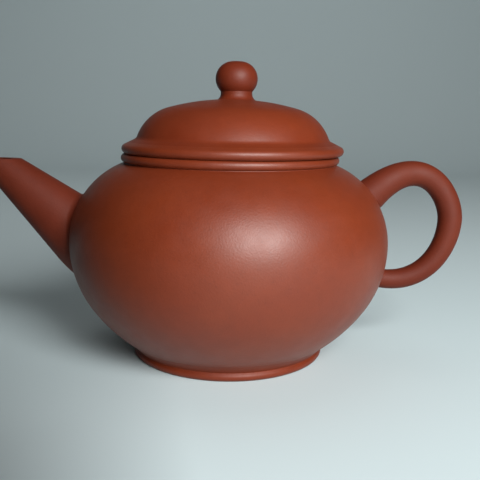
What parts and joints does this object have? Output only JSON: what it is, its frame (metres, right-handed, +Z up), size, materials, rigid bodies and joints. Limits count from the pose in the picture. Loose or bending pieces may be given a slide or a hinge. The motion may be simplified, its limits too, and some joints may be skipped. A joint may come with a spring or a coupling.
{
  "type": "teapot",
  "caption": "Round unglazed clay teapot with a straight level-cut spout, an ear handle and a loose domed lid that lifts off and turns in the mouth.",
  "frame": {"origin": "on the pot's vertical axis in the table plane, at the centre of the foot ring's resting face", "axes": "+Z up, +X towards the handle, -X towards the spout, -Y towards the picture's camera"},
  "size_m": [0.1237, 0.08, 0.0735],
  "materials": {
    "red_clay": "unglazed, burnished to a satin sheen"
  },
  "bodies": {
    "pot": {"body_barrel": "red_clay", "base_disc": "red_clay", "mouth_disc": "red_clay", "mouth_ring": "red_clay", "foot_ring": "red_clay", "spout": "red_clay", "spout_strainer": "red_clay", "handle": "red_clay"},
    "lid_neck": {"lid_flange": "red_clay"},
    "lid_cap": {"lid_dome": "red_clay", "lid_rim": "red_clay", "knob": "red_clay"}
  },
  "joints": [
    {"name": "lid_lift", "type": "slide", "parent": "pot", "child": "lid_neck", "axis": [0, 0, 1], "range_m": [0, 0.06]},
    {"name": "lid_turn", "type": "hinge", "parent": "lid_neck", "child": "lid_cap", "pos_m": [0.0006, 0, 0.051], "axis": [0, 0, 1], "continuous": true}
  ]
}
